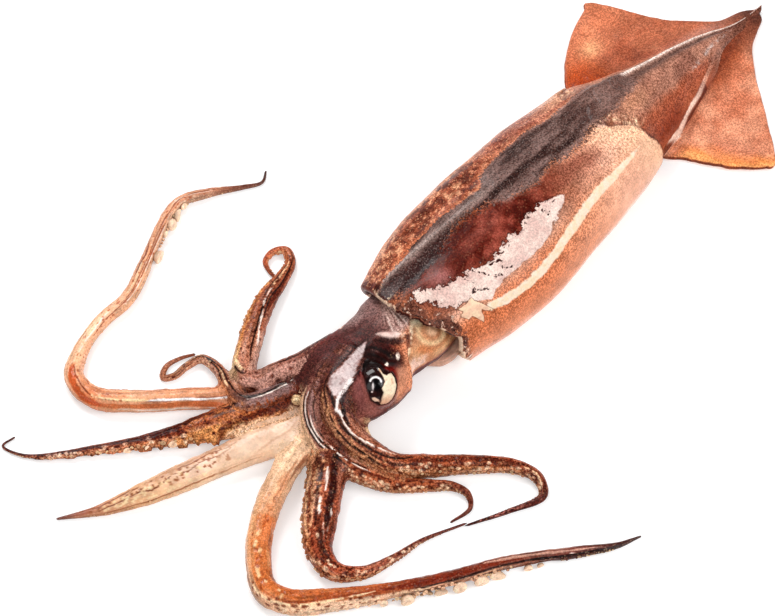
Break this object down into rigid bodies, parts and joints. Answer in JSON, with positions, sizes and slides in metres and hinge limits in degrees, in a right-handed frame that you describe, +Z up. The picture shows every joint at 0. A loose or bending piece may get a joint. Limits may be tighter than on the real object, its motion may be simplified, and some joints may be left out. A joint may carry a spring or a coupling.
{
  "type": "whole raw squid",
  "caption": "Whole raw squid lying belly down: long tapering mantle with two fins, head with eyes and funnel, and arms and tentacles spread in front.",
  "frame": {"origin": "middle of the footprint, on the surface that the squid lies on", "axes": "+X from the head to the tail tip, +Y to the squid's right, +Z up, away from the surface"},
  "size_m": [0.416, 0.262, 0.0424],
  "materials": {
    "mantle_skin": "wet, glossy, speckled",
    "head_skin": "wet, glossy",
    "eye": "wet, very glossy",
    "pale_flesh": "wet, satin",
    "arm_skin": "wet, glossy, speckled",
    "tentacle_skin": "wet, satin, speckled"
  },
  "bodies": {
    "root": {"mantle": "mantle_skin", "head": "head_skin", "eye_left": "eye", "eye_right": "eye", "funnel": "pale_flesh", "arm_1": "arm_skin", "arm_2": "arm_skin", "arm_3": "arm_skin", "arm_4": "pale_flesh", "arm_5": "arm_skin", "arm_6": "arm_skin", "arm_7": "arm_skin", "arm_8": "arm_skin", "tentacle_1": "tentacle_skin", "tentacle_2": "tentacle_skin"}
  },
  "joints": []
}
